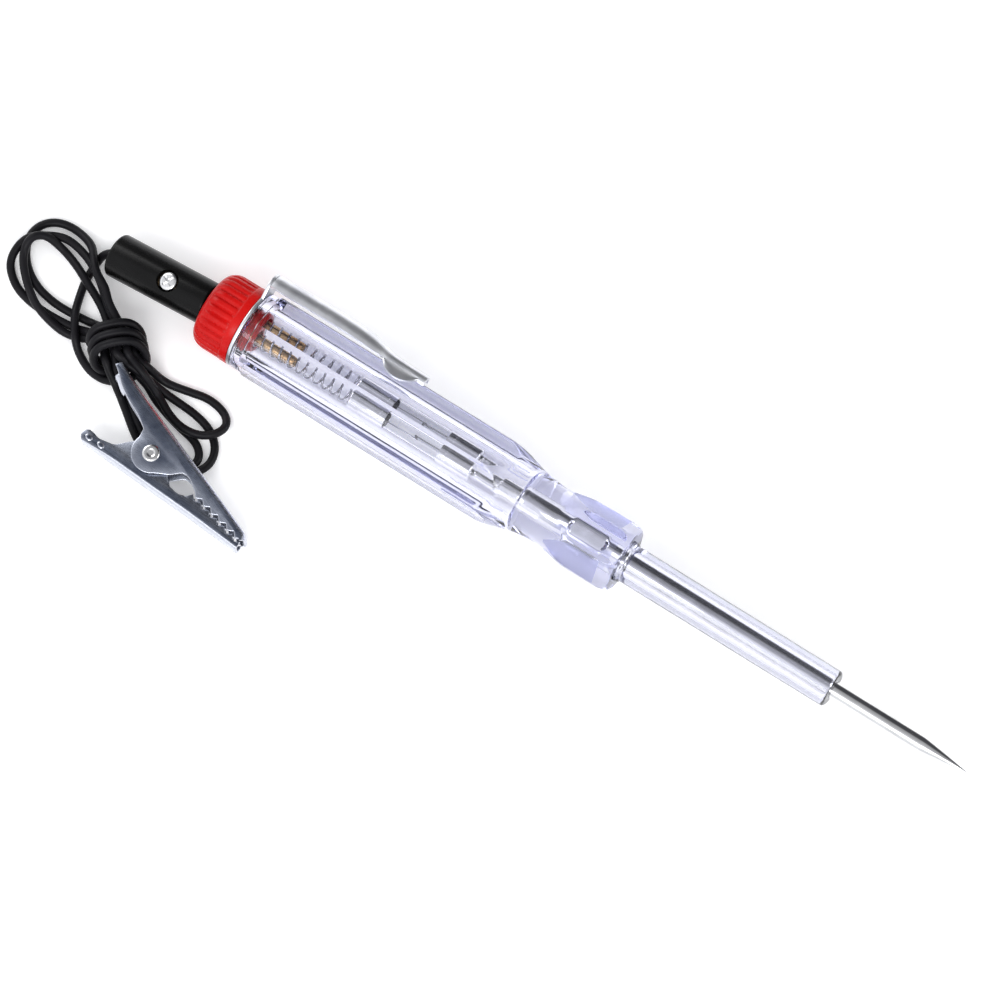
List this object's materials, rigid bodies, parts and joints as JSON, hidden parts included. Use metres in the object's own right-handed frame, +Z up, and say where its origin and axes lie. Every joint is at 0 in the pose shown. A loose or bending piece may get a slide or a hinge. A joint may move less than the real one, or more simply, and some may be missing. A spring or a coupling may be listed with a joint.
{
  "type": "circuit test light",
  "caption": "Pen-shaped automotive circuit tester with clear handle, lamp, needle probe, screw cap, pocket clip and a hanked lead ending in an alligator clip.",
  "frame": {"origin": "centre of the pen's bounding box in plan, at the height of the surface it lies on; the cord and what is on it are not counted", "axes": "+X along the pen from the plug to the probe tip, +Z up from the surface, +Y towards the side that carries the pocket clip"},
  "size_m": [0.2227, 0.0514, 0.0184],
  "materials": {
    "clear_plastic": "clear, glossy, faint violet tint",
    "clear_sleeve": "clear soft tube, satin",
    "probe_steel": "polished",
    "lamp_glass": "clear",
    "lamp_cap": "bright",
    "filament": "dull",
    "spring_steel": "plated",
    "clip_steel": "bright plated",
    "brass": "bright",
    "red_cap": "glossy",
    "black_shell": "satin",
    "screw": "bright",
    "copper": "bare strands",
    "lead_rubber": "matte",
    "clip_zinc": "zinc plated, drawn marks"
  },
  "bodies": {
    "handle": {"clear_handle": "clear_plastic", "probe_rod": "probe_steel", "probe_sleeve": "clear_sleeve", "lamp_glass": "lamp_glass", "lamp_front_cap": "lamp_cap", "lamp_rear_cap": "lamp_cap", "lamp_filament": "filament", "contact_spring": "spring_steel"},
    "clip_ring": {"pocket_clip_ring": "clip_steel"},
    "clip_arm": {"pocket_clip_arm": "clip_steel"},
    "socket": {"brass_socket": "brass"},
    "cap": {"screw_cap": "red_cap"},
    "plug": {"plug_shell": "black_shell", "plug_pin": "brass", "plug_clamp_screw": "screw", "lead_wire_core": "copper", "cord_lead": "lead_rubber", "cord_hank_upper": "lead_rubber", "cord_hank_lower": "lead_rubber", "cord_wrap": "lead_rubber", "lead_crimp": "clip_zinc", "alligator_upper_jaw": "clip_zinc", "alligator_rivet": "screw", "alligator_spring": "spring_steel"},
    "jaw": {"alligator_lower_jaw": "clip_zinc"}
  },
  "joints": [
    {"name": "cap_turn", "type": "hinge", "parent": "socket", "child": "cap", "pos_m": [-0.075, -0.0013, 0.0092], "axis": [-1, 0, 0], "range_deg": [0, 720]},
    {"name": "cap_travel", "type": "slide", "parent": "handle", "child": "socket", "axis": [-1, 0, 0], "range_m": [0, 0.0025], "deforming": ["contact_spring"]},
    {"name": "plug_pull", "type": "slide", "parent": "socket", "child": "plug", "axis": [-1, 0, 0], "range_m": [0, 0.032]},
    {"name": "clip_swivel", "type": "hinge", "parent": "handle", "child": "clip_ring", "pos_m": [-0.06995, -0.0013, 0.0092], "axis": [1, 0, 0], "continuous": true},
    {"name": "clip_flex", "type": "hinge", "parent": "clip_ring", "child": "clip_arm", "pos_m": [-0.0696, 0.00979, 0.0156], "axis": [0, -0.5, 0.866], "range_deg": [0, 5], "stiffness_Nm_per_rad": 1},
    {"name": "jaw_open", "type": "hinge", "parent": "plug", "child": "jaw", "pos_m": [-0.073, -0.0334, 0.0047], "axis": [0, 0, -1], "range_deg": [0, 24], "stiffness_Nm_per_rad": 0.05, "springref_deg": -34.38, "deforming": ["alligator_spring"]}
  ],
  "couplings": [
    {"joint": "cap_turn", "follows": "cap_travel", "rad_per_m": 5026.5}
  ]
}
